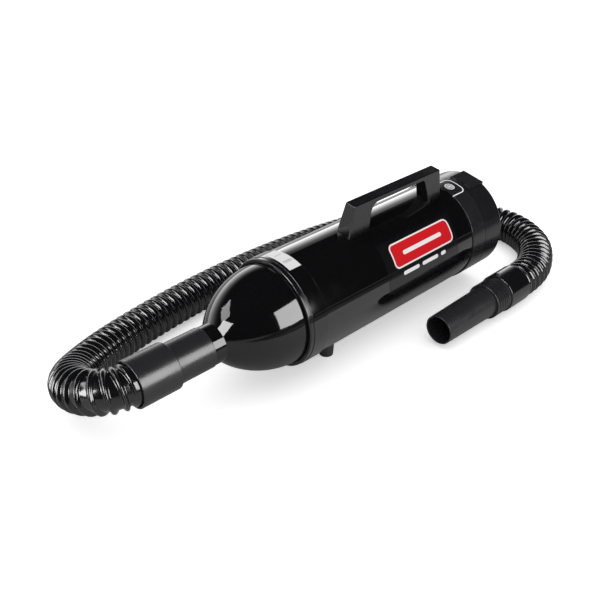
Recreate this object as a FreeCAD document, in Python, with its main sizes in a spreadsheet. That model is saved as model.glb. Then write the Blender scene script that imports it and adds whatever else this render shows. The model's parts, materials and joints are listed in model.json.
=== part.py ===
import FreeCAD, Part
import Sketcher
import math
import os
from FreeCAD import Placement, Rotation, Vector

# A cordless canister hand vacuum and blower with a corrugated hose.
# The frame: X runs from the nose to the back, Z is up, the floor is Z = 0 and the
# origin is on the floor under the middle of the machine.
# A "station" is a distance behind the front edge of the body tube; on the nose and the
# cuff it is a distance ahead of the rear end of the nose.

SIZES = {
    # body tube
    "axis_height": 70.0,
    "tube_front": 98.5,
    "tube_length": 248.5,
    "tube_radius": 57.15,
    "tube_wall": 1.2,
    "vent_first": 152.0,
    "vent_width": 3.0,
    "vent_span": 52.0,
    "vent_pitch": 7.0,
    "vent_count": 7.0,
    "edge_round": 0.4,
    "soft_round": 1.0,
    "rim_round": 0.6,
    # front band, lip and nose
    "band_width": 18.4,
    "band_radius": 58.2,
    "lip_ahead": 5.0,
    "lip_behind": 8.0,
    "lip_radius": 57.6,
    "lip_bore": 53.6,
    "lug_reach": 1.9,
    "lug_start": 8.0,
    "lug_length": 4.0,
    "lug_angle": 20.0,
    "lug_count": 3.0,
    "seal_start": 12.8,
    "seal_width": 3.0,
    "nose_behind": 12.4,
    "skirt_radius": 53.3,
    "skirt_bore": 48.8,
    "groove_radius": 51.3,
    "groove_start": 5.1,
    "groove_width": 4.6,
    "slot_angle": 26.0,
    "slot_first": 40.0,
    "slot_spare": 0.1,
    "dome_start": 16.34,
    "dome_depth": 81.59,
    "dome_radius": 53.4,
    "dome_wall": 2.6,
    "dome_power_in": 1.98,
    "dome_power_out": 1.52,
    "neck_radius": 19.8,
    "neck_end": 100.7,
    "spigot_radius": 17.4,
    "spigot_end": 117.9,
    "neck_bore": 15.5,
    # cuff on the nose
    "cuff_start": 100.9,
    "cuff_small_radius": 20.6,
    "cuff_small_length": 38.8,
    "cuff_large_radius": 23.5,
    "cuff_length": 81.3,
    "cuff_step": 1.6,
    "cuff_bore": 17.45,
    "cuff_bore_length": 29.3,
    "cuff_throat": 16.0,
    "cuff_throat_length": 41.3,
    "cuff_seat": 21.7,
    "ring_length": 28.2,
    "ring_radius": 21.65,
    # dust bag
    "bag_start": 17.0,
    "bag_length": 79.0,
    "bag_radius": 46.0,
    "bag_round": 14.0,
    "bag_collar_width": 6.0,
    "bag_collar_bore": 30.0,
    # fan
    "plate_start": 104.0,
    "plate_width": 4.0,
    "plate_bore": 24.0,
    "housing_length": 38.0,
    "housing_radius": 50.0,
    "housing_wall": 2.0,
    "housing_floor": 3.0,
    "outlet_radius": 6.0,
    "outlet_circle": 34.0,
    "outlet_count": 6.0,
    "impeller_start": 112.0,
    "impeller_gap": 20.0,
    "impeller_width": 8.0,
    "impeller_disc": 1.5,
    "impeller_radius": 46.0,
    "hub_radius": 9.0,
    "blade_inner": 13.0,
    "blade_length": 31.0,
    "blade_width": 1.5,
    "blade_offset": 4.0,
    "blade_count": 9.0,
    "diffuser_start": 123.5,
    "diffuser_width": 5.0,
    "diffuser_bore": 13.0,
    # motor
    "shaft_start": 106.0,
    "shaft_length": 97.5,
    "shaft_radius": 4.0,
    "can_start": 150.0,
    "can_length": 47.0,
    "can_radius": 27.0,
    "can_wall": 1.5,
    "can_floor": 2.0,
    "bell_width": 6.0,
    "bearing_radius": 8.0,
    "bearing_bore": 4.03,
    "bearing_width": 5.0,
    "armature_start": 158.0,
    "armature_length": 22.0,
    "armature_radius": 17.0,
    "slot_width": 2.0,
    "slot_depth": 5.0,
    "slot_count": 12.0,
    "commutator_start": 184.0,
    "commutator_length": 10.0,
    "commutator_radius": 9.0,
    "magnet_radius": 25.4,
    "magnet_bore": 18.0,
    "magnet_angle": 120.0,
    "magnet_count": 2.0,
    "magnet_turn": 30.0,
    "brush_start": 189.0,
    "brush_inner": 9.1,
    "brush_length": 7.0,
    "brush_width": 5.0,
    "holder_width": 8.0,
    "holder_inner": 11.0,
    "holder_length": 14.2,
    "mount_start": 152.0,
    "mount_width": 8.0,
    "mount_hole": 8.0,
    "mount_circle": 41.0,
    # electrics
    "board_start": 210.4,
    "board_width": 1.6,
    "board_radius": 44.0,
    "board_bore": 6.0,
    "socket_start": 212.0,
    "socket_width": 5.0,
    "socket_bore": 20.0,
    "blade_reach": 9.0,
    "terminal_width": 1.2,
    "terminal_span": 8.0,
    "terminal_side": 24.0,
    # rear collar and button
    "lean_angle": 10.0,
    "collar_start": 236.0,
    "collar_spigot": 12.5,
    "collar_spigot_radius": 55.9,
    "collar_radius": 58.2,
    "collar_bore": 53.5,
    "collar_length": 35.7,
    "button_station": 21.7,
    "button_hole": 6.45,
    "button_radius": 6.2,
    "button_top": 58.6,
    "button_flange": 7.6,
    "button_flange_top": 51.8,
    "button_bottom": 49.2,
    "well_bottom": 40.0,
    "well_top": 52.3,
    "well_radius": 9.8,
    "well_bore": 8.2,
    "well_floor": 2.0,
    "switch_side": 8.0,
    "switch_top": 47.2,
    "screw_station": 244.1,
    "screw_angle": 96.0,
    "screw_count": 2.0,
    "screw_head": 3.2,
    "screw_rise": 1.4,
    "screw_shank": 1.5,
    "screw_depth": 3.4,
    # rear cap and battery pack
    "cap_start": 268.0,
    "cap_spigot": 4.0,
    "cap_spigot_radius": 53.2,
    "cap_spigot_bore": 50.5,
    "cap_length": 34.5,
    "cap_bore": 54.5,
    "cap_floor": 3.0,
    "cap_round": 3.0,
    "boss_half": 14.5,
    "boss_top": 58.5,
    "boss_bottom": 50.0,
    "boss_start": 9.5,
    "boss_round": 1.2,
    "recess_station": 29.5,
    "recess_radius": 9.1,
    "recess_floor": 50.4,
    "catch_radius": 8.8,
    "catch_top": 58.2,
    "catch_bottom": 52.8,
    "tongue_half": 5.0,
    "tongue_gap": 0.6,
    "tongue_path_drop": 3.0,
    "tongue_path_depth": 8.6,
    "tongue_reach": 28.7,
    "tongue_width": 1.6,
    "case_start": 222.0,
    "case_length": 77.5,
    "case_radius": 31.0,
    "case_wall": 2.0,
    "case_floor": 2.5,
    "slot_half": 2.0,
    "cell_radius": 9.1,
    "cell_length": 65.0,
    "cell_start": 227.0,
    "cell_circle": 18.6,
    "cell_count": 6.0,
    "spacer_length": 7.0,
    # handle
    "handle_lean": 7.0,
    "handle_half": 6.2,
    "handle_foot_half": 9.75,
    "handle_front_foot": 86.8,
    "handle_front_top": 92.5,
    "handle_rear_top": 226.7,
    "handle_rear_foot": 235.2,
    "handle_foot_height": 50.0,
    "handle_height": 91.7,
    "grip_front_low": 117.0,
    "grip_front_high": 119.5,
    "grip_rear_low": 219.0,
    "grip_rear_high": 201.5,
    "grip_low": 45.0,
    "grip_height": 86.1,
    "grip_front_round": 10.5,
    "grip_rear_round": 6.0,
    "handle_corner": 1.6,
    "handle_round": 0.9,
    "strap_screw_front": 112.5,
    "strap_screw_rear": 225.0,
    "strap_screw_head": 4.0,
    "strap_screw_depth": 2.4,
    "strap_screw_length": 11.0,
    # feet
    "foot_station": 56.0,
    "foot_side": 18.0,
    "foot_radius": 7.6,
    "foot_top_radius": 8.8,
    "foot_blank": 21.0,
    "rear_foot_station": 235.0,
    "foot_screw_head": 3.0,
    "foot_screw_low": 2.0,
    "foot_screw_rise": 2.0,
    "foot_screw_length": 12.0,
    # labels
    "sticker_start": 3.0,
    "sticker_length": 15.4,
    "sticker_angle": 39.0,
    "label_thickness": 0.15,
    "label_start": 108.0,
    "label_length": 114.0,
    "label_first": 36.0,
    "label_angle": 56.0,
    # hose and its far end
    "hose_radius": 21.0,
    "hose_bore": 16.0,
    "far_side": 92.0,
    "far_height": 22.0,
    "far_cuff_start": 256.0,
    "far_cuff_length": 35.0,
    "far_cuff_radius": 22.0,
    "far_bore": 16.0,
    "far_collar_start": 231.0,
    "far_collar_length": 25.0,
    "far_collar_radius": 20.6,
    "rib_depth": 0.8,
    "rib_pitch": 3.2,
    "rib_width": 1.2,
    "rib_first": 3.0,
    "rib_count": 6.0,
    "tail_radius": 17.2,
    "tail_fit": 17.25,
    "tail_length": 18.0,
    "swivel_radius": 18.5,
    "swivel_fit": 18.55,
    "swivel_length": 6.0,
    "nozzle_start": 151.0,
    "nozzle_length": 80.0,
    "nozzle_mouth": 16.6,
    "nozzle_radius": 18.0,
    "nozzle_bore": 15.1,
}

# Route of the hose, from inside the cuff on the nose to the cuff at the far end.
HOSE_ROUTE = (
    (-256.5, 0.0, 70.0),
    (-277.5, 0.0, 70.0),
    (-295.5, 13.0, 68.5),
    (-301.5, 36.0, 61.0),
    (-294.5, 64.0, 50.0),
    (-270.5, 93.0, 35.0),
    (-216.5, 126.0, 21.2),
    (-133.5, 140.0, 21.2),
    (-40.5, 147.0, 21.2),
    (51.5, 143.5, 21.2),
    (139.5, 131.0, 21.2),
    (222.5, 109.0, 21.2),
    (284.5, 64.0, 21.2),
    (313.5, 3.0, 21.2),
    (292.5, -55.0, 21.2),
    (250.5, -83.0, 21.6),
    (219.5, -92.0, 22.0),
    (192.5, -92.0, 22.0),
)
ARC_SHARE = 0.45
DOME_POINTS = 14

doc = FreeCAD.newDocument("hand_vacuum")
sheet = doc.addObject("Spreadsheet::Sheet", "Sizes")
for row, (alias, size) in enumerate(SIZES.items(), start=1):
    sheet.set("A%d" % row, alias)
    sheet.set("B%d" % row, str(size))
    sheet.setAlias("B%d" % row, alias)
doc.recompute()

parts = []


def value(text):
    """Value of a sum or difference such as 'tube_radius - tube_wall' or 'span / 2'."""
    total = 0.0
    term = 0.0
    sign = 1.0
    action = ""
    for word in text.split():
        if word in ("+", "-"):
            total += sign * term
            sign = 1.0 if word == "+" else -1.0
            action = ""
        elif word in ("*", "/"):
            action = word
        else:
            number = SIZES[word] if word in SIZES else float(word)
            if action == "*":
                term *= number
            elif action == "/":
                term /= number
            else:
                term = number
    return total + sign * term


def formula(text):
    """The same sum written for an expression bound to the sheet."""
    words = []
    for word in text.split():
        words.append("Sizes." + word if word in SIZES else word)
    return " ".join(words)


def bind(thing, **sizes):
    """Bind properties of an object to sums of sheet values."""
    for name, text in sizes.items():
        thing.setExpression(name, formula(text))


def new_body(label, placement):
    """An empty body in its place."""
    body = doc.addObject("PartDesign::Body", label)
    body.Label = label
    body.Placement = placement
    parts.append(body)
    return body


def origin_item(body, role):
    """One plane or axis of a body's own origin."""
    for item in body.Origin.OriginFeatures:
        if item.Role == role:
            return item
    raise ValueError(role)


def new_sketch(body, name, plane, raised=None):
    """A sketch on one of the body's planes, raised along its normal if asked."""
    sketch = body.newObject("Sketcher::SketchObject", body.Name + "_" + name)
    sketch.AttachmentSupport = [(origin_item(body, plane), "")]
    sketch.MapMode = "FlatFace"
    if raised:
        sketch.AttachmentOffset = Placement(Vector(0, 0, value(raised)), Rotation())
        sketch.setExpression("AttachmentOffset.Base.z", formula(raised))
    return sketch


def hold(sketch, kind, index, where, text):
    """Place one point of a sketch by a sum of sheet values along one axis."""
    size = value(text)
    if abs(size) < 1e-9:
        axis = -2 if kind == "DistanceX" else -1
        sketch.addConstraint(Sketcher.Constraint("PointOnObject", index, where, axis))
        return
    number = sketch.addConstraint(Sketcher.Constraint(kind, -1, 1, index, where, size))
    sketch.setExpression("Constraints[%d]" % number, formula(text))


def outline(sketch, corners):
    """A closed outline of straight lines through corners given as pairs of sums."""
    points = []
    for across, up in corners:
        points.append(Vector(value(across), value(up), 0))
    count = len(points)
    for index in range(count):
        line = Part.LineSegment(points[index], points[(index + 1) % count])
        sketch.addGeometry(line, False)
    for index in range(count):
        follower = (index + 1) % count
        sketch.addConstraint(Sketcher.Constraint("Coincident", index, 2, follower, 1))
    for index, (across, up) in enumerate(corners):
        hold(sketch, "DistanceX", index, 1, across)
        hold(sketch, "DistanceY", index, 1, up)


def ring(sketch, across, up, radius):
    """A circle placed and sized by the sheet."""
    centre = Vector(value(across), value(up), 0)
    index = sketch.addGeometry(Part.Circle(centre, Vector(0, 0, 1), value(radius)), False)
    hold(sketch, "DistanceX", index, 3, across)
    hold(sketch, "DistanceY", index, 3, up)
    number = sketch.addConstraint(Sketcher.Constraint("Radius", index, value(radius)))
    sketch.setExpression("Constraints[%d]" % number, formula(radius))


def turn(body, name, corners, angle=None):
    """Turn an outline of (station, radius) corners about the body's X axis."""
    sketch = new_sketch(body, name + "_outline", "XZ_Plane")
    outline(sketch, corners)
    feature = body.newObject("PartDesign::Revolution", body.Name + "_" + name)
    feature.Profile = sketch
    feature.ReferenceAxis = (sketch, ["H_Axis"])
    feature.Angle = 360.0
    if angle:
        feature.Angle = value(angle)
        feature.setExpression("Angle", formula(angle))
    return feature


def extrude(body, name, sketch, length, kind="Pad", reverse=False, middle=False):
    """Pad or pocket a sketch over a length from the sheet."""
    feature = body.newObject("PartDesign::" + kind, body.Name + "_" + name)
    feature.Profile = sketch
    feature.Length = value(length)
    feature.setExpression("Length", formula(length))
    feature.Reversed = reverse
    feature.Midplane = middle
    return feature


def repeat_round(body, feature, count):
    """Repeat a feature evenly round the body's X axis."""
    pattern = body.newObject("PartDesign::PolarPattern", body.Name + "_round")
    pattern.Originals = [feature]
    pattern.Axis = (origin_item(body, "X_Axis"), [""])
    pattern.Angle = 360.0
    pattern.Occurrences = int(value(count))
    pattern.setExpression("Occurrences", formula(count))
    body.Tip = pattern
    return pattern


def volume(thing):
    """Volume of a feature once the document is up to date."""
    doc.recompute()
    return thing.Shape.Volume


def check_cut(before, feature):
    """Stop if a pocket or groove has cut nothing."""
    after = volume(feature)
    print("  cut", feature.Name, round(before - after, 1))
    if after > before - 0.05:
        raise ValueError(feature.Name + " cut nothing")


def round_edges(body, base, radius, wanted):
    """Fillet the edges of a feature that a test picks out."""
    doc.recompute()
    names = []
    for index, edge in enumerate(base.Shape.Edges, start=1):
        if wanted(edge):
            names.append("Edge%d" % index)
    feature = body.newObject("PartDesign::Fillet", body.Name + "_rounds")
    feature.Base = (base, names)
    feature.Radius = value(radius)
    feature.setExpression("Radius", formula(radius))
    body.Tip = feature
    return feature


def is_circle(edge, station, radius):
    """True for a full circle about the X axis at a station and of a radius."""
    box = edge.BoundBox
    flat = box.XLength < 1e-4 and abs(box.XMin - value(station)) < 1e-3
    return flat and abs(box.ZMax - value(radius)) < 1e-3 and abs(box.ZMin + value(radius)) < 1e-3


def at_station(text, side="0", height=None, turned_by=Rotation()):
    """Placement at a station behind the front of the tube."""
    up = value(height) if height else value("axis_height")
    return Placement(Vector(value(text) - value("tube_front"), value(side), up), turned_by)


def turned(label, station, corners, turned_by=Rotation(), height=None, side="0"):
    """A body turned from one outline."""
    body = new_body(label, at_station(station, side, height, turned_by))
    turn(body, "turned", corners)
    return body


def washer(length, outer, inner):
    """Outline of a plain ring."""
    return (("0", inner), ("0", outer), (length, outer), (length, inner))


LEAN = Rotation(Vector(1, 0, 0), value("lean_angle"))
OUTWARD = Rotation(Vector(0, 1, 0), -90)
FORWARD = Rotation(Vector(0, 0, 1), 180)
HANDLE_LEAN = Rotation(Vector(1, 0, 0), value("handle_lean"))
MAGNET_TURN = Rotation(Vector(1, 0, 0), value("magnet_turn"))
NEAR_SIDE = "0 - far_side"

# ---------------------------------------------------------------- body tube
tube = turned("body_tube", "0", washer("tube_length", "tube_radius", "tube_radius - tube_wall"))
tube_start = volume(tube)
vent_sketch = new_sketch(tube, "vent_outline", "XY_Plane")
vent_end = "vent_first + vent_width"
outline(vent_sketch, (
    ("vent_first", "0 - vent_span / 2"),
    (vent_end, "0 - vent_span / 2"),
    (vent_end, "vent_span / 2"),
    ("vent_first", "vent_span / 2"),
))
vent = extrude(tube, "vent", vent_sketch, "tube_radius + tube_wall", "Pocket")
check_cut(tube_start, vent)
vents = tube.newObject("PartDesign::LinearPattern", "body_tube_vents")
vents.Originals = [vent]
vents.Direction = (origin_item(tube, "X_Axis"), [""])
vents.Length = value("vent_pitch") * (value("vent_count") - 1)
vents.setExpression("Length", "Sizes.vent_pitch * (Sizes.vent_count - 1)")
vents.Occurrences = int(value("vent_count"))
vents.setExpression("Occurrences", "Sizes.vent_count")
tube.Tip = vents

# ---------------------------------------------------------------- front band and lip
band = turned("front_band", "0", washer("band_width", "band_radius", "tube_radius"))
round_edges(
    band,
    band.Tip,
    "edge_round",
    lambda edge: is_circle(edge, "0", "band_radius") or is_circle(edge, "band_width", "band_radius"),
)

lip = turned("nose_lip", "0 - lip_ahead", (
    ("0", "lip_bore"),
    ("0", "lip_radius"),
    ("lip_ahead", "lip_radius"),
    ("lip_ahead", "tube_radius - tube_wall"),
    ("lip_ahead + lip_behind", "tube_radius - tube_wall"),
    ("lip_ahead + lip_behind", "lip_bore"),
))
round_edges(
    lip,
    lip.Tip,
    "soft_round",
    lambda edge: is_circle(edge, "0", "lip_radius") or is_circle(edge, "0", "lip_bore"),
)
lug = turn(lip, "lug", (
    ("lug_start", "lip_bore - lug_reach"),
    ("lug_start", "lip_bore + lip_ahead / 5"),
    ("lug_start + lug_length", "lip_bore + lip_ahead / 5"),
    ("lug_start + lug_length", "lip_bore - lug_reach"),
), "lug_angle")
repeat_round(lip, lug, "lug_count")

turned("nose_seal", "seal_start", washer("seal_width", "tube_radius - tube_wall", "lip_bore"))

# ---------------------------------------------------------------- nose
# The dome is a rounded cone whose outline follows a power curve, inside and out.


def dome_outline(start, depth, radius, smallest):
    """Points of the power curve from the full radius down to the smallest."""
    share_end = (smallest / radius) ** value("dome_power_out")
    last = (1.0 - share_end) ** (1.0 / value("dome_power_in"))
    points = []
    for index in range(DOME_POINTS + 1):
        share = last * math.sin(0.5 * math.pi * index / DOME_POINTS)
        height = (1.0 - share ** value("dome_power_in")) ** (1.0 / value("dome_power_out"))
        points.append(Vector(start + depth * share, 0, radius * height))
    return points


def spline(points):
    """A smooth edge through points."""
    curve = Part.BSplineCurve()
    curve.interpolate(points)
    return curve.toShape()


def polyline(points):
    """Straight edges through points."""
    return [Part.makeLine(first, second) for first, second in zip(points, points[1:])]


def make_nose():
    """Dome, neck, spigot and bayonet groove in one shell."""
    radius = value("dome_radius")
    depth = value("dome_depth")
    start = value("dome_start")
    outer = dome_outline(start, depth, radius, value("neck_radius"))
    inner_radius = radius - value("dome_wall")
    inner_depth = depth - value("dome_wall")
    inner = dome_outline(start, inner_depth, inner_radius, value("neck_bore"))
    skirt = value("skirt_radius")
    bore = value("skirt_bore")
    groove = value("groove_start")
    groove_end = groove + value("groove_width")
    back = [
        inner[0],
        Vector(start, 0, bore),
        Vector(0, 0, bore),
        Vector(0, 0, skirt),
        Vector(groove, 0, skirt),
        Vector(groove, 0, value("groove_radius")),
        Vector(groove_end, 0, value("groove_radius")),
        Vector(groove_end, 0, skirt),
        Vector(start, 0, skirt),
        outer[0],
    ]
    front = [
        outer[-1],
        Vector(value("neck_end"), 0, value("neck_radius")),
        Vector(value("neck_end"), 0, value("spigot_radius")),
        Vector(value("spigot_end"), 0, value("spigot_radius")),
        Vector(value("spigot_end"), 0, value("neck_bore")),
        inner[-1],
    ]
    edges = polyline(back) + [spline(outer)] + polyline(front) + [spline(inner)]
    wire = Part.Wire(Part.__sortEdges__(edges))
    shell = Part.Face(wire).revolve(Vector(0, 0, 0), Vector(1, 0, 0), 360)
    solid = Part.Solid(shell) if shell.ShapeType == "Shell" else shell.Solids[0]
    middle = Vector(0, 0, 0)
    along = Vector(1, 0, 0)
    reach = groove + value("slot_spare")
    for index in range(int(value("lug_count"))):
        entry = Part.makeCylinder(skirt + value("edge_round"), reach, middle, along, value("slot_angle"))
        core = Part.makeCylinder(value("groove_radius"), reach, middle, along)
        entry = entry.cut(core)
        entry.rotate(middle, along, value("slot_first") + index * 360.0 / value("lug_count"))
        solid = solid.cut(entry)
    return solid.Solids[0]


nose = doc.addObject("Part::Feature", "nose_dome")
nose.Label = "nose_dome"
nose.Shape = make_nose()
nose.Placement = at_station("nose_behind", turned_by=FORWARD)
parts.append(nose)

# ---------------------------------------------------------------- cuff on the nose
cuff_station = "nose_behind - cuff_start"
cuff = turned("hose_cuff", cuff_station, (
    ("0", "cuff_bore"),
    ("0", "cuff_small_radius"),
    ("cuff_small_length", "cuff_small_radius"),
    ("cuff_small_length + cuff_step", "cuff_large_radius"),
    ("cuff_length", "cuff_large_radius"),
    ("cuff_length", "cuff_seat"),
    ("cuff_throat_length", "cuff_seat"),
    ("cuff_throat_length", "cuff_throat"),
    ("cuff_bore_length", "cuff_throat"),
    ("cuff_bore_length", "cuff_bore"),
), FORWARD)
round_edges(
    cuff,
    cuff.Tip,
    "rim_round",
    lambda edge: is_circle(edge, "0", "cuff_small_radius")
    or is_circle(edge, "cuff_small_length + cuff_step", "cuff_large_radius")
    or is_circle(edge, "cuff_length", "cuff_large_radius"),
)

ring_station = "nose_behind - cuff_start - cuff_throat_length"
turned("hose_end_ring", ring_station, washer("ring_length", "ring_radius", "hose_bore"), FORWARD)

# ---------------------------------------------------------------- dust bag
bag = turned("filter_bag", "bag_start", (
    ("0", "0"),
    ("0", "bag_radius"),
    ("bag_length", "bag_radius"),
    ("bag_length", "0"),
))
round_edges(bag, bag.Tip, "bag_round", lambda edge: is_circle(edge, "0", "bag_radius"))
turned(
    "bag_collar",
    "bag_start + bag_length",
    washer("bag_collar_width", "tube_radius - tube_wall", "bag_collar_bore"),
)

# ---------------------------------------------------------------- fan
turned("motor_plate", "plate_start", washer("plate_width", "tube_radius - tube_wall", "plate_bore"))

housing = turned("fan_housing", "plate_start + plate_width", (
    ("0", "housing_radius - housing_wall"),
    ("0", "housing_radius"),
    ("housing_length", "housing_radius"),
    ("housing_length", "bearing_radius"),
    ("housing_length - housing_floor", "bearing_radius"),
    ("housing_length - housing_floor", "housing_radius - housing_wall"),
))
housing_start = volume(housing)
outlet_sketch = new_sketch(housing, "outlet_outline", "YZ_Plane")
ring(outlet_sketch, "outlet_circle", "0", "outlet_radius")
outlet = extrude(housing, "outlet", outlet_sketch, "housing_length + housing_floor", "Pocket", reverse=True)
check_cut(housing_start, outlet)
repeat_round(housing, outlet, "outlet_count")


def bladed_wheel(label, station, hub, blade_start, blade_end):
    """A disc turned from an outline, with slanted blades on its front."""
    body = turned(label, station, hub)
    doc.recompute()
    sketch = new_sketch(body, "blade_outline", "YZ_Plane", blade_start)
    outline(sketch, (
        ("blade_inner", "blade_offset"),
        ("blade_inner + blade_length", "blade_offset"),
        ("blade_inner + blade_length", "blade_offset + blade_width"),
        ("blade_inner", "blade_offset + blade_width"),
    ))
    blade = extrude(body, "blade", sketch, blade_end + " - " + blade_start)
    repeat_round(body, blade, "blade_count")


bladed_wheel("stator_diffuser", "diffuser_start", (
    ("diffuser_width - impeller_disc", "diffuser_bore"),
    ("diffuser_width - impeller_disc", "housing_radius - housing_wall"),
    ("diffuser_width", "housing_radius - housing_wall"),
    ("diffuser_width", "diffuser_bore"),
), "edge_round", "diffuser_width - impeller_disc / 2")

IMPELLER = (
    ("0", "shaft_radius"),
    ("0", "hub_radius"),
    ("impeller_width - impeller_disc", "hub_radius"),
    ("impeller_width - impeller_disc", "impeller_radius"),
    ("impeller_width", "impeller_radius"),
    ("impeller_width", "shaft_radius"),
)
IMPELLER_FACE = "impeller_width - impeller_disc / 2"
bladed_wheel("impeller_front", "impeller_start", IMPELLER, "edge_round", IMPELLER_FACE)
bladed_wheel("impeller_rear", "impeller_start + impeller_gap", IMPELLER, "edge_round", IMPELLER_FACE)

# ---------------------------------------------------------------- motor
turned("motor_shaft", "shaft_start", (
    ("0", "0"),
    ("0", "shaft_radius"),
    ("shaft_length", "shaft_radius"),
    ("shaft_length", "0"),
))
armature = turned(
    "armature", "armature_start", washer("armature_length", "armature_radius", "shaft_radius"))
armature_start = volume(armature)
slot_sketch = new_sketch(armature, "slot_outline", "YZ_Plane")
outline(slot_sketch, (
    ("0 - slot_width / 2", "armature_radius - slot_depth"),
    ("slot_width / 2", "armature_radius - slot_depth"),
    ("slot_width / 2", "armature_radius + slot_depth"),
    ("0 - slot_width / 2", "armature_radius + slot_depth"),
))
slot = extrude(armature, "slot", slot_sketch, "armature_length + slot_depth", "Pocket", reverse=True)
check_cut(armature_start, slot)
repeat_round(armature, slot, "slot_count")
turned(
    "commutator",
    "commutator_start",
    washer("commutator_length", "commutator_radius", "shaft_radius"),
)
turned("motor_can", "can_start", (
    ("0", "bearing_radius"),
    ("0", "can_radius"),
    ("can_length", "can_radius"),
    ("can_length", "can_radius - can_wall"),
    ("can_floor", "can_radius - can_wall"),
    ("can_floor", "bearing_radius"),
))
turned("motor_end_bell", "can_start + can_length", washer("bell_width", "can_radius", "bearing_radius"))
turned("bearing_front", "can_start", washer("bearing_width", "bearing_radius", "bearing_bore"))
turned(
    "bearing_rear",
    "can_start + can_length",
    washer("bearing_width", "bearing_radius", "bearing_bore"),
)
magnets = new_body("magnets", at_station("armature_start", turned_by=MAGNET_TURN))
magnet = turn(
    magnets, "magnet", washer("armature_length", "magnet_radius", "magnet_bore"), "magnet_angle")
repeat_round(magnets, magnet, "magnet_count")


def brush_block(body, name, half, low, length, kind="Pad"):
    """A square block standing on the body's Y side between two heights."""
    sketch = new_sketch(body, name + "_outline", "XZ_Plane", low)
    outline(sketch, (
        ("0 - " + half, "0 - " + half),
        (half, "0 - " + half),
        (half, half),
        ("0 - " + half, half),
    ))
    return extrude(body, name, sketch, length, kind, reverse=kind == "Pocket")


brushes = new_body("brushes", at_station("brush_start"))
brush = brush_block(brushes, "brush", "brush_width / 2", "brush_inner", "brush_length")
repeat_round(brushes, brush, "magnet_count")
holders = new_body("brush_holders", at_station("brush_start"))
holder = brush_block(holders, "holder", "holder_width / 2", "holder_inner", "holder_length")
holder_start = volume(holders)
channel = brush_block(
    holders, "channel", "brush_width / 2", "holder_inner", "holder_length - tube_wall", "Pocket")
check_cut(holder_start, channel)
holder_pair = repeat_round(holders, holder, "magnet_count")
holder_pair.Originals = [holder, channel]

mount = turned("motor_mount", "mount_start", washer("mount_width", "tube_radius - tube_wall", "can_radius"))
mount_start = volume(mount)
air_sketch = new_sketch(mount, "air_outline", "YZ_Plane")
ring(air_sketch, "mount_circle", "0", "mount_hole")
air_hole = extrude(mount, "air_hole", air_sketch, "mount_width + mount_hole", "Pocket", reverse=True)
check_cut(mount_start, air_hole)
repeat_round(mount, air_hole, "outlet_count")

# ---------------------------------------------------------------- electrics
turned("control_board", "board_start", washer("board_width", "board_radius", "board_bore"))
turned(
    "pack_socket",
    "socket_start",
    washer("socket_width", "tube_radius - tube_wall", "socket_bore"),
)
terminals = new_body("terminals", at_station("socket_start + socket_width"))
terminal_sketch = new_sketch(terminals, "blade_outline", "YZ_Plane")
outline(terminal_sketch, (
    ("terminal_side - terminal_width / 2", "0 - terminal_span / 2"),
    ("terminal_side + terminal_width / 2", "0 - terminal_span / 2"),
    ("terminal_side + terminal_width / 2", "terminal_span / 2"),
    ("terminal_side - terminal_width / 2", "terminal_span / 2"),
))
terminal = extrude(terminals, "blade", terminal_sketch, "blade_reach")
repeat_round(terminals, terminal, "magnet_count")

# ---------------------------------------------------------------- rear collar
collar = turned("rear_collar", "collar_start", (
    ("0", "collar_bore"),
    ("0", "collar_spigot_radius"),
    ("collar_spigot", "collar_spigot_radius"),
    ("collar_spigot", "collar_radius"),
    ("collar_length", "collar_radius"),
    ("collar_length", "collar_bore"),
), LEAN)
collar_rounds = round_edges(
    collar,
    collar.Tip,
    "edge_round",
    lambda edge: is_circle(edge, "collar_spigot", "collar_radius")
    or is_circle(edge, "collar_length", "collar_radius"),
)
collar_start_volume = volume(collar)
hole_sketch = new_sketch(collar, "button_hole_outline", "XY_Plane")
ring(hole_sketch, "button_station", "0", "button_hole")
button_hole = extrude(
    collar, "button_hole", hole_sketch, "collar_radius + button_hole", "Pocket", reverse=True)
check_cut(collar_start_volume, button_hole)

button_place = at_station("collar_start + button_station", turned_by=LEAN * OUTWARD)
button = new_body("power_button", button_place)
turn(button, "turned", (
    ("button_bottom", "0"),
    ("button_bottom", "button_flange"),
    ("button_flange_top", "button_flange"),
    ("button_flange_top", "button_radius"),
    ("button_top", "button_radius"),
    ("button_top", "0"),
))
round_edges(
    button,
    button.Tip,
    "edge_round",
    lambda edge: is_circle(edge, "button_top", "button_radius"),
)
well = new_body("button_well", button_place)
turn(well, "turned", (
    ("well_bottom", "0"),
    ("well_bottom", "well_radius"),
    ("well_top", "well_radius"),
    ("well_top", "well_bore"),
    ("well_bottom + well_floor", "well_bore"),
    ("well_bottom + well_floor", "0"),
))
switch = new_body("power_switch", button_place)
switch_sketch = new_sketch(switch, "block_outline", "YZ_Plane", "well_bottom + well_floor")
outline(switch_sketch, (
    ("0 - switch_side / 2", "0 - switch_side / 2"),
    ("switch_side / 2", "0 - switch_side / 2"),
    ("switch_side / 2", "switch_side / 2"),
    ("0 - switch_side / 2", "switch_side / 2"),
))
extrude(switch, "block", switch_sketch, "switch_top - well_bottom - well_floor")

screw_turn = Rotation(Vector(1, 0, 0), value("screw_angle"))
screws = new_body("collar_screws", at_station("screw_station", turned_by=screw_turn))
shank_sketch = new_sketch(screws, "shank_outline", "XY_Plane", "tube_radius - screw_depth")
ring(shank_sketch, "0", "0", "screw_shank")
shank = extrude(screws, "shank", shank_sketch, "screw_depth")
head_sketch = new_sketch(screws, "head_outline", "XY_Plane", "tube_radius - tube_wall / 4")
ring(head_sketch, "0", "0", "screw_head")
head = extrude(screws, "head", head_sketch, "screw_rise")
screw_round = repeat_round(screws, shank, "screw_count")
screw_round.Originals = [shank, head]

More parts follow.
